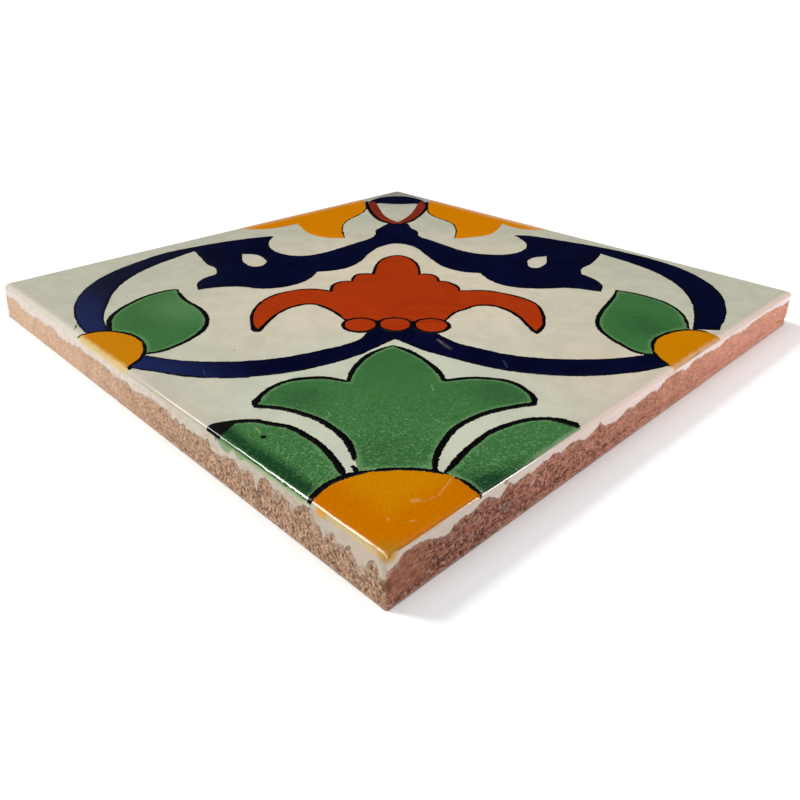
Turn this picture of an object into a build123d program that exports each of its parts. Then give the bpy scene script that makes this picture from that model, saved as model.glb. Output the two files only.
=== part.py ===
from build123d import *
import os

# A handmade talavera tile: one slab of red clay, cut square, with a glaze coat that was fired
# onto its face and ran a little way over the upper edges. Lengths are in millimetres.
# The origin is the middle of the bed face, the side that goes into the mortar. +Z points to the
# glazed face, and the sides lie along X and Y.

# The slab
tile_side = 105.0  # across the glazed edges
tile_thickness = 7.0  # from the bed face to the glazed face
corner_radius = 1.3  # upright corners, softened by hand

# The glazed edge
arris_radius = 1.0  # the glaze rounds the edge between face and side
glaze_run = 1.8  # mean depth to which the glaze ran down the sides
glaze_overhang = 0.25  # how far the coat stands out from the bare clay below it
glaze_lip_radius = 0.18  # the rounded lower edge of the coat

# The bare clay edge below
bed_edge_radius = 0.35  # worn edge between the sides and the bed face

# The key: shallow grooves pressed into the bed face, for the mortar to grip
key_width = 5.0  # at the bed face
key_depth = 0.8
key_draft = 30.0  # slope of the groove's walls, in degrees, so that the clay leaves its mould
key_pitch = 11.0
key_margin = 10.0  # plain border that is left along the sides

clay_side = tile_side - 2 * glaze_overhang
clay_corner_radius = corner_radius - glaze_overhang
lip_level = tile_thickness - glaze_run
lip_radius = min(glaze_lip_radius, 0.8 * glaze_overhang)
key_length = tile_side - 2 * key_margin
key_count = int((key_length - key_width) / key_pitch) + 1

with BuildPart() as tile:
    # The clay slab, at its full thickness
    with BuildSketch(Plane.XY) as clay_outline:
        RectangleRounded(clay_side, clay_side, clay_corner_radius)
    extrude(amount=tile_thickness)
    fillet(tile.edges().group_by(Axis.Z)[0], radius=bed_edge_radius)

    # The glaze coat over the face and the upper part of the sides
    with BuildSketch(Plane.XY.offset(lip_level)) as glaze_outline:
        RectangleRounded(tile_side, tile_side, corner_radius)
    extrude(amount=glaze_run)
    fillet(tile.edges().group_by(Axis.Z)[-1], radius=arris_radius)
    glaze_lip = tile.faces().filter_by(Axis.Z).group_by(Axis.Z)[-2].face().outer_wire().edges()
    fillet(glaze_lip, radius=lip_radius)

    # The key grooves, with round ends, side by side in the bed face
    with BuildSketch(Plane.XY) as key_outline:
        with GridLocations(key_pitch, 0, key_count, 1):
            SlotOverall(key_length, key_width, rotation=90)
    extrude(amount=key_depth, taper=key_draft, mode=Mode.SUBTRACT)

tile.part.label = "tile"

os.makedirs("parts", exist_ok=True)
export_step(tile.part, "parts/tile.step")
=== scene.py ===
import math
import random

import bpy
from mathutils import Matrix, Vector
from mathutils.kdtree import KDTree


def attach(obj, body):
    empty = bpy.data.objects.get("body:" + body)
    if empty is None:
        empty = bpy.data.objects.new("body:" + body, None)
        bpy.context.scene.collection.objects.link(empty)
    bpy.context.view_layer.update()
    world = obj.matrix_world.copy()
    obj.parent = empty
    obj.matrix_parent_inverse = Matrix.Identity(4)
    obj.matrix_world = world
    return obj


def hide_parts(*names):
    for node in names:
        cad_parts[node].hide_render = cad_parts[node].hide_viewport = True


# One handmade wall tile, painted in the talavera way: a red clay slab, a cream tin glaze, and fields
# of green, yellow, brick red and cobalt glaze inside dark brush lines. The scene is in metres. Sizes
# and places are written in millimetres and multiplied by mm.
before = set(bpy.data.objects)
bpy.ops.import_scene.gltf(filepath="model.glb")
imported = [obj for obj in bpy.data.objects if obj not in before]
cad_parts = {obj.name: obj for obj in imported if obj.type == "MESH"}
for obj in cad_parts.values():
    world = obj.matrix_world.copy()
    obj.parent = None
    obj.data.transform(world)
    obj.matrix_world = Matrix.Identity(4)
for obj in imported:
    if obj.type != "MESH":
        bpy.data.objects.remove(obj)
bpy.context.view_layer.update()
mm = 0.001

# Camera
# It stands low over the front corner, near enough for the strong perspective of a close photograph.
# The picture's centre lies above the tile, so the lens is shifted.
view_turn = math.radians(-44.527)
view_rise = math.radians(23.88)
view_roll = math.radians(0.458)
view_distance = 146.767 * mm
focal_pixels = 759.993
centre_right_pixels = 5.701
centre_down_pixels = 78.89
picture_pixels = 800
sensor_width = 36


def towards(turn, rise):
    """The direction that leads out at a turn from +X towards +Y and a rise above the floor, in radians."""
    return Vector((math.cos(turn) * math.cos(rise), math.sin(turn) * math.cos(rise), math.sin(rise)))


away = towards(view_turn - math.radians(90), view_rise)
camera_data = bpy.data.cameras.new("camera")
camera_data.sensor_width = sensor_width
camera_data.lens = focal_pixels * sensor_width / picture_pixels
camera_data.shift_x = centre_right_pixels / picture_pixels
camera_data.shift_y = -centre_down_pixels / picture_pixels
camera_data.clip_start = 5 * mm
camera_data.clip_end = 50
camera = bpy.data.objects.new("camera", camera_data)
bpy.context.scene.collection.objects.link(camera)
turned = away.to_track_quat("Z", "Y").to_matrix() @ Matrix.Rotation(view_roll, 3, "Z")
camera.matrix_world = Matrix.Translation(away * view_distance) @ turned.to_4x4()
bpy.context.scene.camera = camera
bpy.context.scene.view_settings.view_transform = "Standard"

# Floor and light
# A pale studio table that runs on behind the tile. Two soft lights from behind on the left, one below
# the other, put the thin bright line on the arris. Two wide ones fill in from the left and the front,
# and a small one gives the right-hand edge its glint.
bpy.ops.object.select_all(action="DESELECT")
bpy.ops.mesh.primitive_plane_add(size=30, location=(0, 0, -0.02 * mm))
table = bpy.context.object
table.name = "studio_table"
bpy.ops.object.transform_apply(location=True, rotation=True, scale=True)


def new_material(name):
    """A material and its node tree."""
    finish = bpy.data.materials.new(name)
    finish.use_nodes = True
    return finish, finish.node_tree


def fill_socket(socket, value):
    """Gives a socket a plain value, or links it to another node's output."""
    if isinstance(value, bpy.types.NodeSocket):
        socket.id_data.links.new(value, socket)
    elif socket.type == "RGBA":
        socket.default_value = (*value, 1)
    else:
        socket.default_value = value


def add_node(tree, kind, values=None, **settings):
    """Adds a shader node with its settings and fills its inputs. Gives back its outputs."""
    made = tree.nodes.new("ShaderNode" + kind)
    for name, value in settings.items():
        setattr(made, name, value)
    for name, value in (values or {}).items():
        fill_socket(made.inputs[name], value)
    return made.outputs


def spread(value, low, high, from_zero=0.0, to_one=1.0, ends="SMOOTHSTEP"):
    """Stretches the part of a value between low and high to 0 and 1, with soft ends unless told."""
    places = {"Value": value, "From Min": low, "From Max": high, "To Min": from_zero, "To Max": to_one}
    return add_node(value.id_data, "MapRange", places, interpolation_type=ends)["Result"]


paper, tree = new_material("pale_paper")
shader_in = tree.nodes["Principled BSDF"].inputs
paper_place = add_node(tree, "TexCoord")["Object"]
paper_clouds = add_node(tree, "TexNoise", {"Vector": paper_place, "Scale": 9})["Fac"]
fill_socket(shader_in["Base Color"], spread(paper_clouds, 0, 1, 0.915, 0.935, "LINEAR"))
shader_in["Roughness"].default_value = 0.9
table.data.materials.append(paper)


def soft_light(name, heading, height, strength, spread_angle, colour):
    """A light as broad as a softbox, from a compass heading (from +X towards +Y) and a height in degrees."""
    lamp = bpy.data.lights.new(name, "SUN")
    lamp.energy = strength
    lamp.angle = math.radians(spread_angle)
    lamp.color = colour
    holder = bpy.data.objects.new(name, lamp)
    bpy.context.scene.collection.objects.link(holder)
    source = towards(math.radians(heading), math.radians(height))
    holder.rotation_euler = source.to_track_quat("Z", "Y").to_euler()


soft_light("window_light", 114, 47, 1.8, 13, (1.0, 0.98, 0.95))
soft_light("window_low", 107.5, 38, 0.28, 10, (1.0, 0.98, 0.95))
soft_light("left_fill", 188, 24, 0.95, 50, (1.0, 0.98, 0.95))
soft_light("front_fill", -70, 20, 1.05, 60, (1.0, 0.97, 0.95))
soft_light("right_glint", -41.5, 28.7, 0.35, 6, (1.0, 1.0, 1.0))

world = bpy.data.worlds.new("studio")
bpy.context.scene.world = world
world.use_nodes = True
tree = world.node_tree
sky_in = tree.nodes["Background"].inputs
sky_place = add_node(tree, "TexCoord")["Generated"]
overhead = spread(add_node(tree, "SeparateXYZ", {0: sky_place})["Z"], 0.72, 1.0, 0.006, 2.0, "LINEAR")
glow_side = add_node(tree, "VectorMath", {0: sky_place, 1: (0.06, 0.9, 0.43)}, operation="DOT_PRODUCT")
glow = spread(glow_side["Value"], 0.88, 0.99, 0.0, 0.06)
fill_socket(sky_in["Strength"], add_node(tree, "Math", {0: overhead, 1: glow}, operation="ADD")[0])
sky_in["Color"].default_value = (0.96, 0.98, 1.0, 1)

# Clay body
# The slab of red clay, pressed in a mould and cut square by hand, so that its corners are a little
# out of true. Its sides are bare: torn and pitted by the wire. The bed face has grooves for mortar.
tile_side = 105.0
tile_thickness = 7.0
half_side = 52.5
clay_half_side = 52.25
side_start = 51.6
near_side = 51.0
tile_corners = {
    "front": (-52.42, -52.52),
    "right": (53.25, -53.25),
    "back": (52.47, 52.58),
    "left": (-52.86, 52.43),
}
bed_corners = {
    "front": (-52.7, -52.8),
    "right": (53.5, -52.9),
    "back": (52.47, 52.58),
    "left": (-52.75, 53.3),
}
# how rounded the upright corners are at the face, and how much sharper they get towards the bed
corner_rounds = {"front": 1.3, "right": 0.8, "back": 1.2, "left": 1.3}
bed_sharpness = {"front": 0.6, "right": 0.3, "back": 0.0, "left": 0.8}
face_level = 6.96
bare_inset = 0.03
relief_step = 0.2


def hold(piece):
    """Makes a piece the one that the next operations work on."""
    if bpy.context.object and bpy.context.object.mode == "EDIT":
        bpy.ops.object.mode_set(mode="OBJECT")
    bpy.ops.object.select_all(action="DESELECT")
    bpy.context.view_layer.objects.active = piece
    piece.select_set(True)


def pick(piece, what, test):
    """Selects the vertices, edges or faces of a piece that pass a test, and leaves edit mode open."""
    hold(piece)
    bpy.ops.object.mode_set(mode="EDIT")
    bpy.ops.mesh.select_mode(type=what)
    bpy.ops.mesh.select_all(action="DESELECT")
    bpy.ops.object.mode_set(mode="OBJECT")
    parts = {"VERT": piece.data.vertices, "EDGE": piece.data.edges, "FACE": piece.data.polygons}[what]
    for part in parts:
        part.select = bool(test(part))
    bpy.ops.object.mode_set(mode="EDIT")


def face_outward(piece):
    """Turns the faces of a closed piece outward."""
    pick(piece, "FACE", lambda face: True)
    bpy.ops.mesh.normals_make_consistent(inside=False)
    bpy.ops.object.mode_set(mode="OBJECT")


def settle(piece, modifier):
    """Makes a modifier part of a piece's mesh."""
    hold(piece)
    bpy.ops.object.modifier_apply(modifier=modifier.name)


def tile_outline(name, inset, level, cut):
    """One flat face with the outline of the tile, drawn in by inset, its long edges cut up for relief."""
    bpy.ops.object.select_all(action="DESELECT")
    bpy.ops.mesh.primitive_plane_add(size=2 * mm, location=(0, 0, level * mm))
    piece = bpy.context.object
    piece.name = name
    bpy.ops.object.transform_apply(location=True, rotation=True, scale=True)
    named = {(-1, -1): "front", (1, -1): "right", (1, 1): "back", (-1, 1): "left"}
    places = {}
    for corner in piece.data.vertices:
        side = (int(math.copysign(1, corner.co.x)), int(math.copysign(1, corner.co.y)))
        x, y = tile_corners[named[side]]
        corner.co.x = (x - side[0] * inset) * mm
        corner.co.y = (y - side[1] * inset) * mm
        places[named[side]] = corner.co.copy()
    for corner_name, place in places.items():
        pick(piece, "VERT", lambda vertex: (vertex.co - place).length < 0.01 * mm)
        reach = (corner_rounds[corner_name] - 0.5 * inset) * mm
        bpy.ops.mesh.bevel(offset=reach, segments=8, affect="VERTICES")
        bpy.ops.object.mode_set(mode="OBJECT")
    long_edge = 20 * mm
    straight_run = 102

    def is_long(edge):
        a, b = (piece.data.vertices[i].co for i in edge.vertices)
        return (a - b).length > long_edge

    pick(piece, "EDGE", is_long)
    cuts = round(math.sqrt(straight_run / cut)) - 1
    bpy.ops.mesh.subdivide(number_cuts=cuts)
    bpy.ops.mesh.subdivide(number_cuts=cuts)
    bpy.ops.mesh.select_mode(type="FACE")
    bpy.ops.mesh.select_all(action="SELECT")
    return piece


def lean_sides(piece):
    """Leans the sides of an upright piece as the wire cut them, from the face's corners to the bed's."""
    for vertex in piece.data.vertices:
        right = vertex.co.x / (tile_side * mm) + 0.5
        back = vertex.co.y / (tile_side * mm) + 0.5
        shares = {
            "front": (1 - right) * (1 - back),
            "right": right * (1 - back),
            "back": right * back,
            "left": (1 - right) * back,
        }
        depth = 1 - vertex.co.z / (tile_thickness * mm)
        for corner_name, (top_x, top_y) in tile_corners.items():
            across = vertex.co.x - top_x * mm
            deep = vertex.co.y - top_y * mm
            if max(abs(across), abs(deep)) < corner_rounds[corner_name] * mm:
                vertex.co.x -= across * depth * bed_sharpness[corner_name]
                vertex.co.y -= deep * depth * bed_sharpness[corner_name]
        for corner_name, share in shares.items():
            top_x, top_y = tile_corners[corner_name]
            bed_x, bed_y = bed_corners[corner_name]
            vertex.co.x += share * depth * (bed_x - top_x) * mm
            vertex.co.y += share * depth * (bed_y - top_y) * mm


top_level = 6.6
row_height = 0.22
clay = tile_outline("clay_body", bare_inset, top_level, relief_step)
clay_levels = [top_level - row_height * row for row in range(1, 29)] + [0.26, 0.14, 0.05, 0.0]
# the lower edge is worn: its last levels each draw in by so much
worn_edge = {0.14: 0.02, 0.05: 0.04, 0.0: 0.07}
above = top_level
for level in clay_levels:
    bpy.ops.mesh.extrude_region_move(TRANSFORM_OT_translate={"value": (0, 0, (level - above) * mm)})
    if level in worn_edge:
        shrink = 1 - worn_edge[level] / clay_half_side
        bpy.ops.transform.resize(value=(shrink, shrink, 1), center_override=(0, 0, 0))
    above = level
face_outward(clay)
lean_sides(clay)

# the mortar grooves: one round-ended cutter with sloping walls, copied across the bed face
groove_half = 2.5
groove_depth = 0.8
groove_run = 40.0
groove_pitch = 11
groove_count = 8
bpy.ops.object.select_all(action="DESELECT")
bpy.ops.mesh.primitive_cylinder_add(vertices=32, radius=groove_half * mm, depth=2 * groove_depth * mm)
cutter = bpy.context.object
cutter.name = "groove_cutter"
for end in (1, -1):
    pick(cutter, "VERT", lambda vertex: vertex.co.y * end > 0.01 * mm)
    bpy.ops.transform.translate(value=(0, end * groove_run * mm, 0))
    bpy.ops.object.mode_set(mode="OBJECT")
wall_slope = math.tan(math.radians(30)) * groove_depth
for vertex in cutter.data.vertices:
    towards_top = 1 if vertex.co.z > 0 else -1
    end = math.copysign(groove_run, vertex.co.y) * mm
    centre = Vector((0, end, vertex.co.z))
    outward = vertex.co - centre
    outward *= (groove_half - towards_top * wall_slope) / groove_half
    vertex.co = centre + outward
row = cutter.modifiers.new("row", "ARRAY")
row.count = groove_count
row.use_relative_offset = False
row.use_constant_offset = True
row.constant_offset_displace = (groove_pitch * mm, 0, 0)
settle(cutter, row)
for vertex in cutter.data.vertices:
    vertex.co.x -= 0.5 * (groove_count - 1) * groove_pitch * mm
cut_out = clay.modifiers.new("grooves", "BOOLEAN")
cut_out.operation = "DIFFERENCE"
cut_out.object = cutter
cut_out.solver = "EXACT"
settle(clay, cut_out)
bpy.data.objects.remove(cutter)


def roughen(piece, name, size, depth, keep_level, group=""):
    """Moves the surface of a piece along its normals by Blender's own cloud texture."""
    grain = bpy.data.textures.new(name, "CLOUDS")
    grain.noise_scale = size * mm
    relief = piece.modifiers.new(name, "DISPLACE")
    relief.texture = grain
    relief.texture_coords = "LOCAL"
    relief.direction = "NORMAL"
    relief.strength = depth * mm
    relief.mid_level = keep_level
    relief.vertex_group = group
    settle(piece, relief)


# the levels down to which the glaze ran: (place along the side, height), from the front corner on
hem_left = [
    (-53.0, 5.0), (-51.5, 3.5), (-50.8, 5.4), (-50.0, 5.0), (-49.4, 4.2), (-48.9, 3.5), (-48.2, 3.1),
    (-47.7, 3.9), (-47.0, 5.1), (-46.3, 4.5), (-45.0, 4.2), (-44.1, 5.1), (-43.0, 4.3), (-42.6, 3.0),
    (-42.0, 4.5), (-41.0, 5.0), (-40.3, 6.3), (-39.0, 6.0), (-38.0, 5.1), (-37.0, 4.6), (-35.5, 5.2),
    (-34.5, 5.6), (-33.8, 5.0), (-33.0, 5.7), (-31.7, 6.0), (-31.0, 5.7), (-30.5, 4.7), (-29.7, 3.0),
    (-29.3, 5.0), (-28.5, 5.3), (-26.5, 4.3), (-25.4, 5.2), (-23.5, 5.0), (-22.0, 4.0), (-21.3, 4.5),
    (-20.0, 3.9), (-19.3, 5.6), (-18.5, 5.0), (-16.0, 5.0), (-15.0, 4.6), (-12.8, 5.1), (-12.0, 4.6),
    (-11.3, 5.2), (-10.5, 4.6), (-9.0, 5.3), (-4.0, 5.3), (-1.0, 4.8), (1.0, 4.5), (3.0, 5.1), (7.0, 4.4),
    (9.0, 5.1), (15.0, 5.1), (17.0, 4.6), (19.0, 5.2), (23.0, 4.5), (27.0, 4.2), (30.0, 5.3), (33.0, 4.5),
    (36.0, 4.8), (39.0, 4.2), (42.0, 4.3), (47.0, 5.2), (50.0, 5.0), (53.0, 4.8),
]
hem_right = [
    (-53.0, 4.6), (-51.8, 4.9), (-50.0, 6.2), (-48.5, 6.3), (-47.0, 6.1), (-45.5, 5.4), (-43.2, 4.6),
    (-42.2, 5.5), (-40.5, 5.7), (-39.5, 5.5), (-36.7, 6.4), (-35.0, 5.2), (-34.2, 4.9), (-32.6, 6.3),
    (-31.8, 5.5), (-29.0, 5.8), (-28.5, 5.4), (-26.0, 6.0), (-24.8, 5.8), (-24.0, 6.5), (-22.0, 5.4),
    (-21.0, 6.0), (-19.5, 6.1), (-18.0, 5.7), (-16.7, 4.9), (-13.8, 5.7), (-13.2, 6.5), (-12.0, 5.1),
    (-10.0, 4.8), (-8.5, 4.5), (-6.0, 5.5), (-4.5, 5.0), (-2.0, 5.3), (1.0, 5.6), (2.5, 5.1), (5.0, 6.5),
    (7.8, 6.5), (10.5, 5.6), (12.0, 5.6), (14.0, 6.4), (16.0, 5.8), (17.0, 6.3), (22.0, 5.6), (25.0, 6.1),
    (27.0, 6.5), (29.0, 5.9), (33.0, 5.6), (35.0, 6.1), (41.0, 6.3), (47.0, 5.7), (50.0, 5.4),
    (53.0, 5.3),
]


def hem_at(hem, place):
    """The level of the glaze's torn lower edge at a place along one side."""
    for (a, low_a), (b, low_b) in zip(hem, hem[1:]):
        if place <= b:
            share = max(0.0, (place - a) / (b - a))
            return low_a + (low_b - low_a) * share
    return hem[-1][1]


def glaze_edge(x, y):
    """The level of the glaze's torn lower edge at a place on any of the four sides."""
    if y < -near_side and y < x:
        return hem_at(hem_right, x)
    if x < -near_side and x <= y:
        return hem_at(hem_left, y)
    if x > near_side and x >= y:
        return hem_at(hem_left, -y)
    return hem_at(hem_right, -x)


def draw_in(vertex, depth):
    """Moves a point of the sides straight inward, in millimetres."""
    vertex.co.x *= 1 - depth / half_side
    vertex.co.y *= 1 - depth / half_side


# above that line the clay draws in under the glaze; below it the wire has torn it, but for the rubbed
# stretch beside the front corner, and a seam of the mould runs along the right-hand side
torn_sides = clay.vertex_groups.new(name="torn_sides")
seam_hand = random.Random(3)
seam_step = 0.5
seam_reach = 54
seam_half_width = 0.17
seam_depths = [seam_hand.uniform(0.0, 1.0) ** 0.6 for _ in range(218)]
for vertex in clay.data.vertices:
    x, y, z = vertex.co / mm
    if max(abs(x), abs(y)) < side_start:
        continue
    over_hem = z - glaze_edge(x, y)
    if over_hem > 0.1:
        draw_in(vertex, 0.12 if over_hem < 0.5 else 0.32)
        continue
    hold_share = min(1.0, max(0.0, (z - 0.03) / 0.25))
    if y < -side_start and x < -45:
        hold_share *= 0.35 + 0.65 * max(0.0, (x + 48) / 3)
    hold_share *= 1 - 0.5 * min(1.0, max(0.0, (x + y + 60) / 60))
    torn_sides.add([vertex.index], hold_share, "REPLACE")
    if y < -side_start and x > -50:
        seam_level = 1.55 + 0.25 * math.sin(0.55 * x) + 0.1 * math.sin(2.1 * x)
        off_seam = (z - seam_level) / seam_half_width
        depth = 0.3 * seam_depths[int((x + seam_reach) / seam_step)] * math.exp(-(off_seam**2))
        vertex.co.y += depth * mm
below_glaze = clay.data.attributes.new("below_glaze", "FLOAT", "POINT")
for vertex in clay.data.vertices:
    x, y, z = vertex.co / mm
    on_a_side = max(abs(x), abs(y)) > side_start
    below_glaze.data[vertex.index].value = glaze_edge(x, y) - z if on_a_side else 9.0
roughen(clay, "torn_clay", 1.2, 0.3, 0.6, "torn_sides")
roughen(clay, "clay_pits", 0.38, 0.42, 0.6, "torn_sides")


def new_effect(name, inputs, outputs):
    """An empty shader node group with its sockets: (name, kind, start) going in, (name, kind) going out."""
    group = bpy.data.node_groups.new(name, "ShaderNodeTree")
    kinds = {"colour": "NodeSocketColor", "value": "NodeSocketFloat", "vector": "NodeSocketVector"}
    for socket_name, kind, start in inputs:
        socket = group.interface.new_socket(socket_name, in_out="INPUT", socket_type=kinds[kind])
        socket.default_value = (*start, 1) if kind == "colour" else start
    for socket_name, kind in outputs:
        group.interface.new_socket(socket_name, in_out="OUTPUT", socket_type=kinds[kind])
    return group, group.nodes.new("NodeGroupInput").outputs, group.nodes.new("NodeGroupOutput").inputs


def use_effect(tree, group, **values):
    """Places a shader node group in a material. Spaces in its inputs' names are written as low lines."""
    made = tree.nodes.new("ShaderNodeGroup")
    made.node_tree = group
    for name, value in values.items():
        fill_socket(made.inputs[name.replace("_", " ")], value)
    return made.outputs


def reckon(operation, *values):
    """One sum between values, in the shader that they belong to."""
    tree = next(value.id_data for value in values if isinstance(value, bpy.types.NodeSocket))
    return add_node(tree, "Math", dict(enumerate(values)), operation=operation)[0]


def times(*values):
    """Multiplies values or masks with each other."""
    product = values[0]
    for value in values[1:]:
        product = reckon("MULTIPLY", product, value)
    return product


def times_plus(value, factor, more):
    """A value times a factor, plus more."""
    return reckon("MULTIPLY_ADD", value, factor, more)


def blend(share, first, second):
    """Mixes two colours by a mask."""
    return add_node(share.id_data, "Mix", {0: share, 6: first, 7: second}, data_type="RGBA")[2]


def tint(colour, mask, strength, second):
    """Lays a second colour over a colour where a mask is, at a strength."""
    return blend(times(mask, strength), colour, second)


def brighten(colour, value):
    """A colour with its brightness multiplied by a value."""
    return add_node(value.id_data, "HueSaturation", {"Value": value, "Color": colour})["Color"]


def object_place(tree):
    """Where a point lies on the piece itself, in metres."""
    return add_node(tree, "TexCoord")["Object"]


def noise(tree, scale, detail=3.0, rough=0.55, vector=None, stretch=None):
    """Blender's noise at a scale in waves per metre, stretched where the real pattern is."""
    place = vector or object_place(tree)
    if stretch:
        place = add_node(tree, "Mapping", {"Vector": place, "Scale": stretch})["Vector"]
    values = {"Vector": place, "Scale": scale, "Detail": detail, "Roughness": rough}
    return add_node(tree, "TexNoise", values)["Fac"]


# where a point lies on the tile, in millimetres: how far inside each edge, how high, how far from the
# front corner as a share of a side, and whether it is nearer to the front edge than to the left one
place_names = ("Left", "Front", "Nearest", "Along", "Height", "On front", "Across", "Deep")
tile_place, _, place_out = new_effect("place_on_tile", [], [(name, "value") for name in place_names])
axes = add_node(tile_place, "SeparateXYZ", {"Vector": object_place(tile_place)})
across = times(axes["X"], 1000)
deep = times(axes["Y"], 1000)
# the two near edges run a little askew
left_edge, left_skew = 52.64, 0.0042
front_edge, front_skew = 52.98, 0.0088
from_left = times_plus(deep, left_skew, reckon("ADD", across, left_edge))
from_front = times_plus(across, front_skew, reckon("ADD", deep, front_edge))
from_far = reckon("SUBTRACT", half_side, reckon("MAXIMUM", across, deep))
for name, value in (
    ("Left", from_left),
    ("Front", from_front),
    ("Nearest", reckon("MINIMUM", reckon("MINIMUM", from_left, from_front), from_far)),
    ("Along", times_plus(reckon("ADD", across, deep), 1 / tile_side, 1.0)),
    ("Height", times(axes["Z"], 1000)),
    ("On front", spread(reckon("SUBTRACT", from_left, from_front), -0.3, 0.3)),
    ("Across", across),
    ("Deep", deep),
):
    fill_socket(place_out[name], value)

# a soft round mark about a place, in millimetres
soft_spot, spot_in, spot_out = new_effect(
    "soft_spot",
    [("Centre", "vector", (0, 0, 0)), ("Radius", "value", 1.0), ("Softness", "value", 0.5)],
    [("Mask", "value")],
)


def reckon_vector(operation, first, second, result="Vector"):
    """One sum between two vectors."""
    return add_node(first.id_data, "VectorMath", {0: first, 1: second}, operation=operation)[result]


in_millimetres = (1000, 1000, 1000)
spot_place = reckon_vector("MULTIPLY", object_place(soft_spot), in_millimetres)
spot_distance = reckon_vector("DISTANCE", spot_place, spot_in["Centre"], "Value")
full_reach = reckon("SUBTRACT", 1.0, spot_in["Softness"])
spot_mask = spread(reckon("DIVIDE", spot_distance, spot_in["Radius"]), 1.0, full_reach)
fill_socket(spot_out["Mask"], spot_mask)


def spot(tree, centre, radius, softness):
    """The mask of one soft round mark."""
    return use_effect(tree, soft_spot, Centre=centre, Radius=radius, Softness=softness)["Mask"]


def mark_spots(colour, marks):
    """Lays soft round marks over a colour: each has its centre, radius, softness, strength and colour."""
    for centre, radius, softness, strength, mark_colour in marks:
        colour = tint(colour, spot(colour.id_data, centre, radius, softness), strength, mark_colour)
    return colour


clay_material, tree = new_material("red_clay")
place = use_effect(tree, tile_place)
on_front = place["On front"]
# the clay is painted darker and redder on the front side, as painted shade, and paler towards the far
# corners, as painted light
dull = blend(on_front, (0.43, 0.25, 0.155), (0.31, 0.115, 0.068))
pale = blend(on_front, (0.76, 0.52, 0.36), (0.80, 0.37, 0.26))
body = blend(spread(place["Along"], -0.1, 1.05), dull, pale)
body = tint(body, spread(noise(tree, 420, 4, 0.6), 0.35, 0.7), 0.25, (0.24, 0.085, 0.048))
coarse = spread(place["Along"], 0.72, 0.22, 0.27, 1.0)
rubbed = times(on_front, spread(place["Along"], 0.068, 0.04), spread(place["Height"], 0.4, 1.8))
coarse = times(coarse, times_plus(rubbed, -0.6, 1.0))
crumbs = noise(tree, 2300, 5, 0.72, stretch=(0.6, 1.15, 1))
value = times_plus(spread(crumbs, 0.4, 0.6, -0.47, 0.42), coarse, 1.0)
shady = spot(tree, (-44, -52.7, 2.5), 15, 0.6)
body = brighten(body, times_plus(times(shady, on_front), -0.17, value))
# the pits and pale grains are the clay's own, but their darker tones on the front side are painted shade
pits = spread(noise(tree, 2500, 3, 0.65, stretch=(0.5, 1.1, 1.1)), 0.463, 0.402)
pit_colour = blend(on_front, (0.15, 0.052, 0.022), (0.085, 0.02, 0.009))
body = tint(body, times(pits, coarse), 0.9, pit_colour)
chalk = spread(noise(tree, 2700, 3, 0.65, stretch=(0.7, 1.1, 0.8)), 0.53, 0.6)
chalk = times(chalk, coarse, spread(on_front, 0.0, 1.0, 1.0, 0.6))
body = tint(body, chalk, 0.8, blend(on_front, (0.76, 0.57, 0.41), (0.66, 0.42, 0.34)))
# along the mould seam the clay is painted dark, as painted shade in its groove
seam_level = times_plus(noise(tree, 120, 3, 0.6, stretch=(1, 1, 0)), 1.6, 0.75)
off_seam = reckon("ABSOLUTE", reckon("SUBTRACT", place["Height"], seam_level))
seam = spread(times_plus(crumbs, 0.5, off_seam), 0.48, 0.28)
open_seam = spread(noise(tree, 330, 2, 0.5, stretch=(1, 1, 0)), 0.36, 0.5)
body = tint(body, times(seam, on_front, open_seam, coarse), 0.75, (0.12, 0.033, 0.018))
# thin runs of glaze slip below the coat, mostly on the left near the front corner
runs = spread(noise(tree, 1100, 4, 0.65, stretch=(1, 1, 0.3)), 0.5, 0.62)
run_reach = spread(place["Height"], 1.0, 5.5, 0.15, 1.0)
near_front = spread(place["Along"], 0.5, 0.05, 0.15, 0.7)
runs = times(runs, run_reach, near_front, reckon("SUBTRACT", 1.0, on_front))
drip = times(spot(tree, (-52.7, -48.4, 2.9), 1.5, 0.7), spread(crumbs, 0.35, 0.6))
body = blend(reckon("MAXIMUM", runs, drip), body, (0.60, 0.48, 0.365))
# just below the coat's hem the clay is painted paler: partly glaze slip, partly painted light over the shadow
# under the coat's lip
below_coat = add_node(tree, "Attribute", attribute_name="below_glaze")["Fac"]
below_coat = times_plus(noise(tree, 1500, 4, 0.65, stretch=(1, 1, 0.4)), 2.0, below_coat)
slip_and_painted_light = times(spread(below_coat, 1.9, 0.9), spread(on_front, 0.0, 1.0, 0.5, 0.25))
body = blend(slip_and_painted_light, body, (0.60, 0.48, 0.38))
foot = spread(times_plus(crumbs, 0.5, place["Height"]), 0.9, 0.4)
body = tint(body, foot, 0.35, (0.60, 0.44, 0.34))
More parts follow.
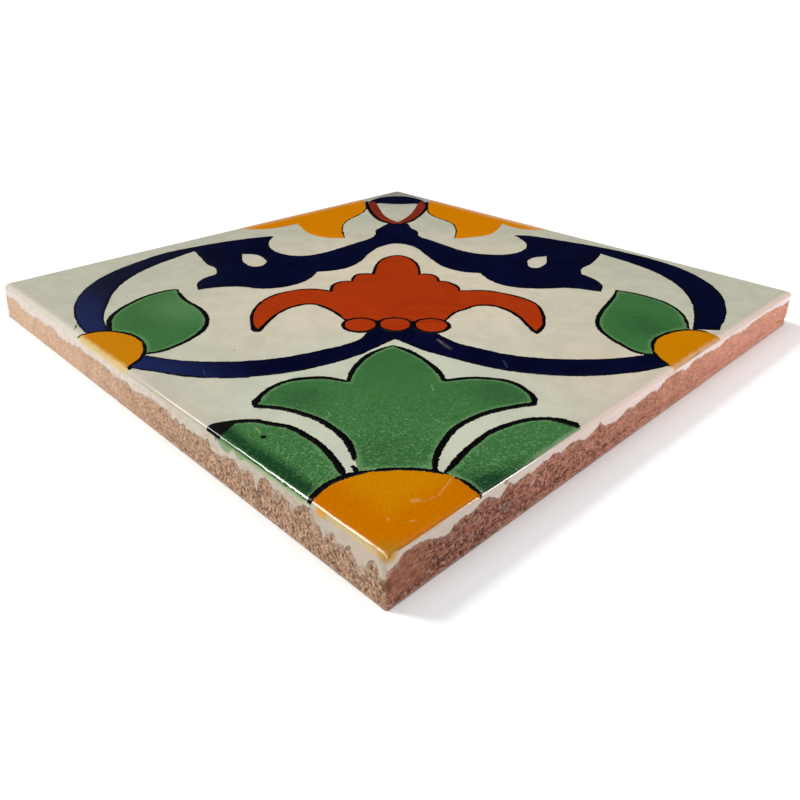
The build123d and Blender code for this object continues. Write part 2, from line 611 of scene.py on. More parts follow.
# a painted contact shadow greys the clay just above the bed
painted_contact_shadow = spread(times_plus(crumbs, 0.2, place["Height"]), 0.33, 0.18)
body = tint(body, painted_contact_shadow, 0.6, (0.24, 0.20, 0.18))
clay_stains = [
    ((-33.6, -52.6, 2.9), 0.7, 0.7, 0.8, (0.16, 0.13, 0.12)),
    ((-32.0, -52.6, 3.1), 0.6, 0.7, 0.8, (0.27, 0.19, 0.16)),
    ((-27.8, -52.7, 3.8), 0.45, 0.7, 0.8, (0.62, 0.42, 0.36)),
    ((-52.5, -52.6, 3.0), 1.2, 0.7, 0.8, (0.13, 0.04, 0.02)),
]
shader_in = tree.nodes["Principled BSDF"].inputs
fill_socket(shader_in["Base Color"], mark_spots(body, clay_stains))
shader_in["Roughness"].default_value = 0.92
shader_in["Specular IOR Level"].default_value = 0.25
clay_height = times(times_plus(noise(tree, 5200, 3, 0.6), 0.4, crumbs), coarse)
clay_bump = add_node(tree, "Bump", {"Height": clay_height, "Distance": 0.3 * mm, "Strength": 1.0})
fill_socket(shader_in["Normal"], clay_bump["Normal"])
clay.data.materials.append(clay_material)
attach(clay, "root")
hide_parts("tile")

# Cream glaze coat
# The tin glaze that covers the face, rounds the arris and ran unevenly down the sides before it set.
# The slab was dipped face down, so each side has a torn white hem with drips in it.
arris_round = 0.75
hem_top = face_level - arris_round
coat = tile_outline("cream_glaze", 0.0, hem_top, 0.25)
rounding_steps = 6
inward = 0.0
upward = 0.0
for step in range(1, rounding_steps + 1):
    angle = math.radians(90 * step / rounding_steps)
    next_in = arris_round * (1 - math.cos(angle))
    next_up = arris_round * math.sin(angle)
    bpy.ops.mesh.inset(
        thickness=(next_in - inward) * mm,
        depth=(next_up - upward) * mm,
        use_boundary=True,
        use_even_offset=True,
    )
    inward = next_in
    upward = next_up
bpy.ops.mesh.inset(thickness=0.04 * mm, depth=0)
bpy.ops.mesh.select_mode(type="EDGE")
bpy.ops.mesh.select_all(action="DESELECT")
bpy.ops.mesh.select_non_manifold()
hem_rows = [0.3, 0.6, 0.82, 0.93, 1.0, 1.0]
lip_in = [0.0, 0.0, 0.0, 0.0, 0.06, 0.5]
row_mark = 1000.0
for _ in range(len(hem_rows) + 1):
    bpy.ops.mesh.extrude_edges_move(TRANSFORM_OT_translate={"value": (0, 0, -row_mark * mm)})
bpy.ops.mesh.edge_face_add()
bpy.ops.object.mode_set(mode="OBJECT")

# the rows hang a metre apart until here, which tells them apart, and now go to their own levels
underside_level = 6.3
underside_in = 0.9
hem_hand = random.Random(7)
hem_teeth = {}
thinness = {}
for vertex in coat.data.vertices:
    x, y, z = vertex.co / mm
    row_number = round((hem_top - z) / row_mark)
    if row_number < 1:
        continue
    key = (round(x, 2), round(y, 2))
    if key not in hem_teeth:
        raggedness = 0.25 if y < -near_side and x < 0 else 0.5
        hem_teeth[key] = 0.2 * raggedness - raggedness * hem_hand.random() ** 2.2
    low = glaze_edge(x, y) + hem_teeth[key]
    if row_number <= len(hem_rows):
        share = hem_rows[row_number - 1]
        thinness[vertex.index] = share
        vertex.co.z = (hem_top + (low - hem_top) * share) * mm
        draw_in(vertex, lip_in[row_number - 1])
    else:
        vertex.co.z = underside_level * mm
        draw_in(vertex, underside_in)
lean_sides(coat)
coat.data.update()
thin_glaze = coat.data.attributes.new("thin_glaze", "FLOAT", "POINT")
for index, share in thinness.items():
    thin_glaze.data[index].value = share
face_outward(coat)
bpy.ops.object.shade_smooth_by_angle(angle=math.radians(50))

# what the fire left on every glaze: a faint orange peel, a slow swell, and a few pinholes
fired_skin, skin_in, skin_out = new_effect(
    "fired_skin",
    [("Gloss roughness", "value", 0.1)],
    [("Roughness", "value"), ("Height", "value"), ("Pinholes", "value")],
)
peel = noise(fired_skin, 900, 2, 0.5)
swell = noise(fired_skin, 110, 1, 0.5)
hole_cells = {"Vector": object_place(fired_skin), "Scale": 330}
hole_spots = add_node(fired_skin, "TexVoronoi", hole_cells)["Distance"]
some_holes = spread(noise(fired_skin, 160, 2, 0.5), 0.56, 0.62)
holes = times(spread(hole_spots, 0.075, 0.035), some_holes)
fill_socket(skin_out["Height"], reckon("SUBTRACT", times_plus(peel, 0.22, swell), times(holes, 0.5)))
fill_socket(skin_out["Pinholes"], holes)
fill_socket(skin_out["Roughness"], times_plus(peel, 0.06, skin_in["Gloss roughness"]))


def finish_glaze(colour, gloss=0.08, sheen=0.5):
    """Puts a colour and the fired skin on a glaze's shader. Sheen is how strongly its surface reflects."""
    tree = colour.id_data
    shader_in = tree.nodes["Principled BSDF"].inputs
    skin = use_effect(tree, fired_skin, Gloss_roughness=gloss)
    bump = add_node(tree, "Bump", {"Height": skin["Height"], "Distance": 0.035 * mm, "Strength": 1.0})
    fill_socket(shader_in["Base Color"], colour)
    fill_socket(shader_in["Roughness"], skin["Roughness"])
    fill_socket(shader_in["Normal"], bump["Normal"])
    shader_in["Specular IOR Level"].default_value = sheen
    return skin


# where colours from the face ran over the arris: side, its stretch, lowest level, colour and strength
over_arris_stains = [
    ("Left", -52.4, -41.2, 6.25, (0.55, 0.38, 0.10), 0.6),
    ("Left", -39.2, -20.8, 6.3, (0.20, 0.34, 0.12), 0.8),
    ("Left", -21.9, -19.6, 6.65, (0.004, 0.004, 0.005), 0.95),
    ("Left", -21.5, -20.9, 6.1, (0.02, 0.02, 0.015), 0.8),
    ("Left", 3.0, 19.0, 6.1, (0.66, 0.50, 0.16), 0.65),
    ("Front", -52.4, -38.2, 6.6, (0.50, 0.30, 0.05), 0.5),
    ("Front", -38.0, -19.5, 6.75, (0.22, 0.36, 0.15), 0.35),
]
side_patch, patch_in, patch_out = new_effect(
    "patch_on_side",
    [(name, "value", 0.0) for name in ("Inside", "Place", "Height", "Wobble", "Start", "End", "Lowest")],
    [("Mask", "value")],
)
past_start = reckon("SUBTRACT", patch_in["Place"], patch_in["Start"])
before_end = reckon("SUBTRACT", patch_in["End"], patch_in["Place"])
above_lowest = reckon("SUBTRACT", patch_in["Height"], patch_in["Lowest"])
wobbly = times_plus(patch_in["Wobble"], -0.9, 0.45)
ends_mask = spread(reckon("ADD", reckon("MINIMUM", past_start, before_end), wobbly), -0.15, 0.35)
level_mask = spread(reckon("ADD", above_lowest, wobbly), -0.2, 0.3)
on_side = spread(patch_in["Inside"], 0.8, 0.45)
fill_socket(patch_out["Mask"], times(level_mask, on_side, ends_mask))

cream_material, tree = new_material("cream_tin_glaze")
place = use_effect(tree, tile_place)
clouded = times_plus(noise(tree, 45, 3, 0.5), 1.2, -0.6)
middle = times_plus(clouded, 0.5, spot(tree, (0, 0, 7), 52, 0.8))
cream = blend(middle, (0.47, 0.465, 0.37), (0.59, 0.53, 0.41))
# greener round the palmette, darker and greyer at the back corner as a painted reflection, warmer by the
# right-hand edge
cream_patches = [
    ((-30.5, -30.5, 7), 27, 0.45, 0.75, (0.47, 0.51, 0.405)),
    ((51, 51, 7), 19, 0.8, 0.92, (0.27, 0.25, 0.23)),
    ((2, -49, 7), 22, 0.8, 0.6, (0.57, 0.49, 0.385)),
]
cream = mark_spots(cream, cream_patches)
cream = brighten(cream, spread(noise(tree, 240, 4, 0.65), 0.35, 0.65, 0.95, 1.05))
cream = tint(cream, spread(noise(tree, 1400, 4, 0.6), 0.58, 0.72), 0.28, (0.36, 0.33, 0.27))
# the coat thins towards the arris: greyish pink near the front corner. Farther on, a painted sheen whitens
# the face along the left and right arrises.
by_edge = spread(reckon("MINIMUM", place["Left"], place["Front"]), 3.5, 0.4)
cream = tint(cream, by_edge, 0.45, (0.47, 0.40, 0.33))
far_left_sheen = times(spread(place["Left"], 1.9, 0.2), spread(place["Along"], 0.42, 0.7))
cream = tint(cream, far_left_sheen, 0.75, (0.70, 0.65, 0.56))
far_right_sheen = times(spread(place["Front"], 1.7, 0.5), spread(place["Along"], 0.4, 0.75))
cream = tint(cream, far_right_sheen, 0.6, (0.74, 0.60, 0.53))
# on the sides the coat is thin and whiter, and lets some clay through
on_front = times(place["On front"], spread(place["Front"], 1.2, 0.9))
thin_side = times(on_front, spread(place["Front"], 0.8, 0.2))
thin_side = reckon("MAXIMUM", spread(place["Height"], 6.75, 6.2), thin_side)
torn = spread(noise(tree, 900, 3, 0.6), 0.4, 0.7)
# the hem is painted darker near the front corner and lighter farther along each side, as painted light
near_white = blend(torn, (0.45, 0.42, 0.33), (0.42, 0.31, 0.23))
near_white = mark_spots(near_white, [((-52.7, -49.0, 5), 6.5, 0.8, 0.75, (0.49, 0.385, 0.30))])
far_white = blend(torn, (0.66, 0.58, 0.50), (0.58, 0.44, 0.36))
left_white = blend(spread(place["Along"], 0.1, 0.7), near_white, far_white)
right_white = blend(spread(place["Along"], 0.05, 0.6), (0.53, 0.44, 0.38), (0.85, 0.66, 0.61))
cream = blend(thin_side, cream, blend(on_front, left_white, right_white))
thinned = add_node(tree, "Attribute", attribute_name="thin_glaze")["Fac"]
bare = spread(times_plus(noise(tree, 1500, 4, 0.65), 0.9, thinned), 1.25, 1.6)
cream = tint(cream, bare, 0.7, (0.52, 0.34, 0.24))
wobble = noise(tree, 900, 3, 0.6)
for side, start, end, lowest, stain_colour, strength in over_arris_stains:
    patch = use_effect(
        tree,
        side_patch,
        Inside=place[side],
        Place=place["Deep" if side == "Left" else "Across"],
        Height=place["Height"],
        Wobble=wobble,
        Start=start,
        End=end,
        Lowest=lowest,
    )["Mask"]
    cream = tint(cream, patch, strength, stain_colour)
# drops that hang over the arris, and the yellow that ran down at the front corner
drops = [
    ((-52.7, -42.1, 6.9), 1.15, 0.25, 0.85, (0.58, 0.28, 0.02)),
    ((-52.7, -23.2, 7.2), 1.95, 0.25, 0.85, (0.11, 0.24, 0.085)),
    ((-52.7, -26.5, 7.1), 1.4, 0.25, 0.85, (0.16, 0.28, 0.11)),
    ((-33.2, -52.8, 6.6), 0.5, 0.25, 0.85, (0.24, 0.17, 0.14)),
    ((-52.2, -52.3, 7.2), 1.9, 0.6, 1.0, (0.46, 0.235, 0.015)),
]
cream = mark_spots(cream, drops)
skin = finish_glaze(cream)
cream = tint(cream, skin["Pinholes"], 0.8, (0.16, 0.12, 0.08))
fill_socket(tree.nodes["Principled BSDF"].inputs["Base Color"], cream)
coat.data.materials.append(cream_material)
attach(coat, "root")

# Cobalt bands and scrolls
# The first colours on the dry glaze: a broad cobalt ring with scrolls, and a band that swings below
# the beads. Each was filled in with a full brush between thin dark lines, and stands a hair proud.
field_level = 7.0
half_root = math.sqrt(0.5)
brush_hand = random.Random(21)


def on_tile(across, deep):
    """A place of the pattern, measured across the tile and from its middle towards the back corner."""
    return Vector((half_root * (across + deep), half_root * (deep - across), 0)) * mm


def add_stroke(pen, runs, closed, width=1.0, unsteady=0.0, fineness=8):
    """Draws runs of points with one brush. Each run starts at a corner, and between corners it is smooth."""
    spline = pen.splines.new("BEZIER")
    knots = [(place, number == 0) for run in runs for number, place in enumerate(run)]
    spline.bezier_points.add(len(knots) - 1)
    for knot, (place, is_corner) in zip(spline.bezier_points, knots):
        knot.co = on_tile(*place)
        knot.handle_left_type = "VECTOR" if is_corner else "AUTO"
        knot.handle_right_type = knot.handle_left_type
        knot.radius = width * (1 + brush_hand.uniform(-unsteady, unsteady))
    spline.use_cyclic_u = closed
    spline.resolution_u = fineness
    return spline


def made_mesh(name, pen):
    """Turns a drawn curve into a mesh piece."""
    piece = bpy.data.objects.new(name, pen)
    bpy.context.scene.collection.objects.link(piece)
    hold(piece)
    bpy.ops.object.convert(target="MESH")
    return bpy.context.object


def edge_lines():
    """The tile's four upper edges, each as a point on it and the direction that leads off the tile."""
    names = ["front", "right", "back", "left"]
    for name, following in zip(names, names[1:] + names[:1]):
        start = Vector((*tile_corners[name], 0))
        along = (Vector((*tile_corners[following], 0)) - start).normalized()
        yield start * mm, Vector((along.y, -along.x, 0))


def lay_on_arris(piece, gap):
    """Trims a piece just inside the tile's edge and lets it sink with the rounding of the arris."""
    for start, outward in edge_lines():
        reach = max((vertex.co - start).dot(outward) for vertex in piece.data.vertices)
        if reach < -arris_round * mm:
            continue
        rings = [arris_round * (1 - math.cos(math.radians(15 * step))) for step in (6, 5, 4, 3, 2)]
        pick(piece, "FACE", lambda face: True)
        for inside in [ring for ring in rings if ring > gap + 0.02] + [gap]:
            bpy.ops.mesh.select_all(action="SELECT")
            bpy.ops.mesh.bisect(
                plane_co=start - outward * inside * mm,
                plane_no=outward,
                use_fill=inside == gap,
                clear_outer=inside == gap,
            )
        bpy.ops.object.mode_set(mode="OBJECT")
        for vertex in piece.data.vertices:
            inside = -(vertex.co - start).dot(outward) / mm
            if inside < arris_round:
                slope = arris_round - inside
                vertex.co.z -= (arris_round - math.sqrt(arris_round**2 - slope**2)) * mm


def outline_points(piece):
    """Points a tenth of a millimetre apart along the outline of a flat field."""
    uses = {}
    for face in piece.data.polygons:
        if face.normal.z > 0.99:
            for key in face.edge_keys:
                uses[key] = uses.get(key, 0) + 1
    for (first, last), count in uses.items():
        if count == 1:
            start = piece.data.vertices[first].co
            end = piece.data.vertices[last].co
            steps = int((end - start).length / (0.1 * mm)) + 1
            for step in range(steps):
                yield start.lerp(end, step / steps)


def glaze_field(name, outlines, finish, top=field_level, gap=0.22):
    """A field of coloured glaze inside closed outlines. An outline inside another is left open."""
    weave = 1.3
    half_thickness = 0.04
    soft_edge = 0.03
    pen = bpy.data.curves.new(name, "CURVE")
    pen.dimensions = "2D"
    pen.fill_mode = "BOTH"
    pen.extrude = half_thickness * mm
    pen.bevel_depth = soft_edge * mm
    pen.bevel_resolution = 1
    pen.offset = -soft_edge * mm
    for outline in outlines:
        add_stroke(pen, outline, closed=True)
    piece = made_mesh(name, pen)
    pick(piece, "FACE", lambda face: True)
    bpy.ops.mesh.remove_doubles(threshold=0.002 * mm)
    face_outward(piece)
    around = list(outline_points(piece))
    nearest_outline = KDTree(len(around))
    for number, place in enumerate(around):
        nearest_outline.insert(place, number)
    nearest_outline.balance()

    # crossing cuts give the field an even mesh, so that it can carry its distance from the outline
    bpy.ops.object.mode_set(mode="EDIT")
    for axis, normal in ((0, (1, 0, 0)), (1, (0, 1, 0))):
        start = min(place[axis] for place in around)
        end = max(place[axis] for place in around)
        for step in range(1, int((end - start) / (weave * mm)) + 1):
            cut = [0, 0, 0]
            cut[axis] = start + (step - 0.5) * weave * mm
            bpy.ops.mesh.select_all(action="SELECT")
            bpy.ops.mesh.bisect(plane_co=cut, plane_no=normal)
    bpy.ops.object.mode_set(mode="OBJECT")
    from_line = piece.data.attributes.new("from_line", "FLOAT", "POINT")
    for vertex in piece.data.vertices:
        from_line.data[vertex.index].value = nearest_outline.find(vertex.co)[2] / mm
    lift = (top - half_thickness - soft_edge) * mm
    for vertex in piece.data.vertices:
        vertex.co.z += lift
    lay_on_arris(piece, gap)
    piece.data.materials.append(finish)
    bpy.ops.object.shade_smooth_by_angle(angle=math.radians(25))
    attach(piece, "root")


def brush_lines(name, strokes, finish, height=0.07, ragged=0.12, top=face_level):
    """Lines drawn with a pointed brush: each stroke has its runs, its width, and True if it closes."""
    pen_radius = 0.5
    tip_share = 0.6
    unsteadiness = 0.12
    fineness = 22
    arris_gap = 0.12
    flatten = height / 0.4
    pen = bpy.data.curves.new(name, "CURVE")
    pen.dimensions = "3D"
    pen.bevel_depth = pen_radius * mm
    pen.bevel_resolution = 2
    pen.use_fill_caps = True
    for runs, width, closed in strokes:
        spline = add_stroke(pen, runs, closed, width, unsteadiness, fineness)
        if not closed:
            spline.bezier_points[0].radius *= tip_share
            spline.bezier_points[-1].radius *= tip_share
    piece = made_mesh(name, pen)
    roughen(piece, name + "_wander", 1.6, 1.8 * ragged, 0.5)
    roughen(piece, name + "_ragged", 0.32, 3.0 * ragged, 0.5)
    for vertex in piece.data.vertices:
        vertex.co.z = vertex.co.z * flatten + top * mm
    lay_on_arris(piece, arris_gap)
    piece.data.materials.append(finish)
    face_outward(piece)
    bpy.ops.object.shade_smooth_by_angle(angle=math.radians(60))
    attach(piece, "root")


# a fine scratch between two places, in millimetres
scratch, scratch_in, scratch_out = new_effect(
    "scratch",
    [("Start", "vector", (0, 0, 0)), ("End", "vector", (1, 0, 0)), ("Width", "value", 0.2)],
    [("Mask", "value")],
)
scratch_place = reckon_vector("MULTIPLY", object_place(scratch), in_millimetres)
scratch_place = reckon_vector("SUBTRACT", scratch_place, scratch_in["Start"])
scratch_run = reckon_vector("SUBTRACT", scratch_in["End"], scratch_in["Start"])
run_squared = reckon_vector("DOT_PRODUCT", scratch_run, scratch_run, "Value")
run_share = reckon("DIVIDE", reckon_vector("DOT_PRODUCT", scratch_place, scratch_run, "Value"), run_squared)
run_share = reckon("MINIMUM", reckon("MAXIMUM", run_share, 0.0), 1.0)
nearest_place = add_node(scratch, "VectorMath", {0: scratch_run, "Scale": run_share}, operation="SCALE")
off_scratch = reckon_vector("DISTANCE", scratch_place, nearest_place["Vector"], "Value")
off_scratch = times_plus(noise(scratch, 2600, 3, 0.6), scratch_in["Width"], off_scratch)
off_scratch = reckon("DIVIDE", off_scratch, scratch_in["Width"])
fill_socket(scratch_out["Mask"], spread(off_scratch, 1.1, 0.55))


def scratched(colour, marks):
    """Draws pale scratches over a colour. Each has two ends on the pattern, a width, strength and colour."""
    for *ends, width, strength, pale_colour in marks:
        start, end = ((*(on_tile(*place).xy / mm), tile_thickness) for place in ends)
        mark = use_effect(colour.id_data, scratch, Start=start, End=end, Width=width)["Mask"]
        colour = tint(colour, mark, strength, pale_colour)
    return colour


# a glaze colour as the brush left it: mottled, paler in fine specks and at its thin rim, deeper in pools
brushed_colour, brush_in, brush_out = new_effect(
    "brushed_colour",
    [
        ("Thin", "colour", (0.5, 0.5, 0.5)),
        ("Middle", "colour", (0.3, 0.3, 0.3)),
        ("Deep", "colour", (0.1, 0.1, 0.1)),
        ("Pool", "value", 0.0),
        ("Mottle", "value", 0.5),
        ("Speckle", "value", 0.5),
        ("Grain", "value", 0.1),
        ("Crystals", "value", 0.0),
        ("Crystal colour", "colour", (0.5, 0.5, 0.5)),
        ("Rim", "value", 0.0),
    ],
    [("Colour", "colour")],
)
clouds = spread(noise(brushed_colour, 230, 3, 0.55), 0.35, 0.68)
depth = times_plus(clouds, brush_in["Mottle"], brush_in["Pool"])
tone = blend(reckon("MINIMUM", depth, 1.0), brush_in["Middle"], brush_in["Deep"])
specks = spread(noise(brushed_colour, 2100, 3, 0.6), 0.56, 0.7)
tone = tint(tone, specks, brush_in["Speckle"], brush_in["Thin"])
from_line = add_node(brushed_colour, "Attribute", attribute_name="from_line")["Fac"]
rim_width = times_plus(noise(brushed_colour, 700, 2, 0.6), -0.9, from_line)
tone = tint(tone, spread(rim_width, 0.55, 0.0), brush_in["Rim"], brush_in["Thin"])
fine = reckon("SUBTRACT", noise(brushed_colour, 3000, 4, 0.7), 0.5)
tone = brighten(tone, times_plus(fine, brush_in["Grain"], 1.0))
crystals = spread(noise(brushed_colour, 2900, 3, 0.65), 0.52, 0.65)
clear = reckon("SUBTRACT", 1.0, reckon("MINIMUM", brush_in["Pool"], 1.0))
tone = tint(tone, times(crystals, clear), brush_in["Crystals"], brush_in["Crystal colour"])
fill_socket(brush_out["Colour"], tone)


def brushed(tree, thin, middle, deep, **more):
    """The brushed colour of one glaze, from its thin, middle and deep tones."""
    return use_effect(tree, brushed_colour, Thin=thin, Middle=middle, Deep=deep, **more)["Colour"]


cobalt, tree = new_material("cobalt_glaze")
cobalt_tones = [(0.006, 0.008, 0.035), (0.0018, 0.0028, 0.021), (0.001, 0.0015, 0.012)]
colour = brushed(tree, *cobalt_tones, Mottle=0.8, Speckle=0.3)
by_left = spread(use_effect(tree, tile_place)["Left"], 15.0, 3.0)
colour = tint(colour, by_left, 0.75, (0.009, 0.017, 0.085))
scuffs = [
    ((7.4, -23.2), (9.0, -26.2), 0.9, 0.5, (0.10, 0.085, 0.10)),
    ((7.2, -22.8), (7.9, -24.6), 0.35, 0.7, (0.16, 0.12, 0.11)),
    ((17.0, -30.2), (17.3, -32.4), 0.4, 0.6, (0.045, 0.045, 0.09)),
    ((-28.0, -34.4), (-27.2, -36.4), 0.2, 0.5, (0.06, 0.07, 0.12)),
]
finish_glaze(scratched(colour, scuffs), 0.07)
dark_brush, tree = new_material("dark_brush")
dark_tones = [(0.012, 0.008, 0.006), (0.0018, 0.0018, 0.0022), (0.001, 0.001, 0.001)]
finish_glaze(brushed(tree, *dark_tones, Mottle=0.6, Speckle=0.6), 0.22, 0.15)
scroll_outline = [
    [(-50.3, -21.6), (-53.2, -17.6), (-56, -11.8), (-57.5, -5), (-57.3, 1), (-55.7, 7), (-52.4, 13.2),
     (-49, 18.2), (-45.1, 21.6), (-40.1, 25.2), (-34.5, 28.4)],
    [(-28.1, 31.0), (-28.4, 26.6), (-27.2, 22.2), (-24.2, 18.8), (-20.1, 17.5), (-16, 19.2), (-12, 23),
     (-8.5, 27), (-5.6, 30.3), (-4.6, 33), (-4.5, 36.5), (-3.5, 38.8)],
    [(-1.9, 42)],
    [(2.6, 42), (3.2, 38.9), (4.6, 36), (5.1, 32.2), (7.8, 29.1), (11.3, 25.1), (15, 21.5), (19.5, 19.7),
     (24, 20), (27.6, 22.6), (29.2, 27), (28.5, 31)],
    [(27.4, 33.6), (30.6, 33.2), (37.1, 29.9), (43.5, 26.3), (49.1, 22.3), (54, 17.6), (58, 12.2),
     (60.3, 6), (60.9, 0.5), (60, -5.5), (57.8, -11.7)],
    [(54.4, -17.8)],
    [(50.4, -17.6), (53, -11), (54.5, -4.5), (54.7, 1), (53.3, 8), (50, 14.1), (46.8, 18.2)],
    [(43.9, 21.6), (42.6, 18.8), (40.3, 14.9), (37.6, 11.5)],
    [(36.9, 8.4), (38.6, 6), (39.6, 2.9)],
    [(38.7, -0.8), (33.5, 0.9), (27.5, 0.5), (22.5, 1.2), (19.3, 3.7)],
    [(17.1, 8.6), (14, 9.1), (10.5, 11.6), (8.2, 15.5), (6.4, 20), (3.9, 24.9), (0.1, 26.9), (-3.3, 24.8),
     (-5.8, 20), (-7.5, 14.6), (-9.8, 10.9), (-12.5, 9.2)],
    [(-15.6, 8.4), (-17, 3.9), (-19.5, 0.8), (-24, -1.1), (-30, -0.2), (-34, -0.9)],
    [(-36.7, -2.0), (-37.4, 2.2)],
    [(-35, 6.3), (-35.6, 9), (-38.4, 12.4), (-40.4, 16)],
    [(-43, 20.4), (-46.2, 15.5), (-49.6, 9.5), (-51.7, 3), (-52.1, -4), (-51.2, -10), (-49.6, -16.2)],
    [(-47, -20.9)],
]
left_eye = [
    [(-32.8, 18.8), (-29.4, 18.3), (-27.3, 15.9), (-26.4, 12.6), (-28.2, 10.6), (-31, 12.7)],
]
right_eye = [
    [(32.3, 19.5), (28.7, 18), (27.1, 14.9), (28.1, 11.6), (30.6, 13.3)],
]
lower_band_outline = [
    [(-38.2, -30), (-33.5, -31.3), (-27.4, -31.9), (-21.5, -31.4), (-16.3, -30), (-11.2, -27.5),
     (-7.2, -25.1), (-5.2, -23.2)],
    [(-4.1, -20.6)],
    [(-3.6, -18.4)],
    [(-2.9, -15.95)],
    [(3.4, -15.95)],
    [(4.0, -18.4)],
    [(7.1, -20.8), (10.3, -24.3), (14.1, -26.4), (18, -28.3), (23, -29.4), (29, -29.65), (34.8, -29.1)],
    [(40.9, -27.3)],
    [(42, -30.9), (38, -32.7), (32.8, -34.1), (27.2, -34.8), (21.5, -34.3), (15.1, -32.5), (10.4, -30),
     (5.1, -26.8), (2.6, -24.6)],
    [(0.3, -22.6), (-2.2, -25.3), (-5.6, -28.9), (-10, -32.1), (-14.5, -34.4), (-19, -35.8),
     (-20.7, -36.2)],
    [(-21, -36.5), (-25, -36.7), (-30.1, -36.3), (-34.5, -35.1)],
    [(-39.4, -33.8)],
]
glaze_field("cobalt_scrolls", [scroll_outline, left_eye, right_eye], cobalt)
glaze_field("cobalt_lower_band", [lower_band_outline], cobalt)
brush_lines(
    "cobalt_edges",
    [
        (scroll_outline, 0.5, True),
        (left_eye, 0.45, True),
        (right_eye, 0.45, True),
        (lower_band_outline, 0.5, True),
    ],
    dark_brush,
)

# Green palmette, petals and leaves
# Copper green glaze, laid on thick. It ran together into darker pools along the arrises.
green, tree = new_material("copper_green_glaze")
place = use_effect(tree, tile_place)
away_from_line = spread(place["Left"], 0.3, 0.9, 0.5, 1.0)
left_reach = times_plus(noise(tree, 260, 2, 0.5), -1.2, place["Left"])
left_pool = times(away_from_line, spread(left_reach, 2.9, 0.9))
right_pool = times(spread(place["Front"], 3.4, 0.9), 0.9, spread(place["Along"], 0.27, 0.17))
pools = reckon("MAXIMUM", left_pool, right_pool)
for pool_place, pool_radius, pool_depth in (
    ((-39.2, -20.8, 7), 6.5, 0.3),
    ((-18.0, -39.2, 7), 6.5, 0.36),
    ((-39.5, -39.5, 7), 8.0, 0.22),
    ((-36.3, -50.6, 7), 4.5, 0.5),
    ((-22.3, -22.3, 7), 8.0, 0.1),
    ((-39.5, 19.0, 7), 7.0, 0.2),
    ((18.5, -41.5, 7), 8.5, 0.3),
):
    pools = times_plus(spot(tree, pool_place, pool_radius, 0.9), pool_depth, pools)
crystals = spread(place["Along"], 0.6, 0.12, 0.08, 0.95)
colour = brushed(
    tree,
    (0.12, 0.25, 0.10),
    (0.0395, 0.138, 0.040),
    (0.010, 0.045, 0.016),
    Pool=pools,
    Mottle=0.12,
    Speckle=0.2,
    Grain=times(crystals, 2.6),
    Crystals=crystals,
    Crystal_colour=(0.15, 0.29, 0.13),
    Rim=0.5,
)
lit_leaf = ((-33.2, 18.6, 7), 11, 0.9, 0.8, (0.082, 0.200, 0.074))
colour = mark_spots(colour, [lit_leaf])
scuffs = [
    ((-17.4, -50.1), (-16.5, -51.6), 0.16, 0.7, (0.42, 0.36, 0.16)),
    ((5.7, -38.3), (5.9, -39.8), 0.22, 0.7, (0.26, 0.36, 0.20)),
    ((-8.3, -46.4), (-8.1, -46.9), 0.25, 0.7, (0.26, 0.40, 0.30)),
]
colour = scratched(colour, scuffs)
thin_edge = times_plus(noise(tree, 500, 2, 0.5), 0.7, place["Front"])
thin_edge = times(spread(thin_edge, 1.5, 0.6), spread(place["Along"], 0.2, 0.27))
finish_glaze(tint(colour, thin_edge, 0.55, (0.30, 0.36, 0.24)))
palmette = [
    [(0, -25.4), (-2, -27), (-3.8, -29.1), (-5.1, -31.8), (-6, -35)],
    [(-6.2, -37.6), (-7.7, -37), (-9.9, -36.5), (-12.4, -36.7), (-14.8, -37.5), (-16.8, -39.3),
     (-17.9, -41.4)],
    [(-18.4, -44.9), (-16.2, -45), (-13.7, -45.7), (-11.2, -46.9), (-8.7, -48.7), (-6.9, -50.7),
     (-5.5, -52.8), (-4.6, -55.1), (-4.1, -57.3)],
    [(-3.5, -59.7), (-1.6, -59.3), (0.7, -59.05), (3, -59.05)],
    [(5.4, -59.4), (5.5, -57.3), (5.9, -55.5), (6.6, -53.4), (7.7, -50.9), (9.1, -48.9), (10.7, -47.4),
     (12.5, -46), (14.8, -44.8), (17.3, -43.9)],
    [(19.6, -43.2), (19.8, -41.4), (19.1, -39.6), (18, -37.8), (16.3, -36.6), (14.2, -36.1), (11.5, -36)],
    [(7.6, -36.9), (7, -34.5), (5.9, -32), (4.4, -29.6), (2.4, -27.2)],
]
flower_arc = [
    (-8.9, -65.6), (-8.3, -64.3), (-7.4, -62.7), (-6.1, -61.4), (-4.4, -60.3), (-2.3, -59.5), (0.2, -59.1),
    (2.7, -59), (4.9, -59.3), (7, -60), (8.6, -61.2), (9.7, -62.6), (10.7, -64.2),
]
left_petal = [
    [(-23.4, -50), (-20.9, -49.1), (-18, -48.6), (-15.5, -49.3), (-13, -50.1), (-10.9, -51.8),
     (-8.7, -54.1), (-6.9, -56.9), (-5.6, -59.6)],
    [(-5.1, -60.7), (-6.2, -61.5), (-7.5, -62.9), (-8.4, -64.4)],
    [(-9.2, -66.4)],
    [(-26, -52)],
]
right_petal = [
    [(24.4, -48.3), (22.9, -47.6), (21.2, -47.2), (19.1, -47.3), (17, -48), (14.5, -49.4), (12.4, -51.2),
     (10.6, -53.4), (9.1, -55.5), (7.7, -58)],
    [(6.6, -59.8), (8, -60.7), (9.2, -61.9), (10.2, -63.4)],
    [(11, -65)],
    [(25, -50.2)],
]
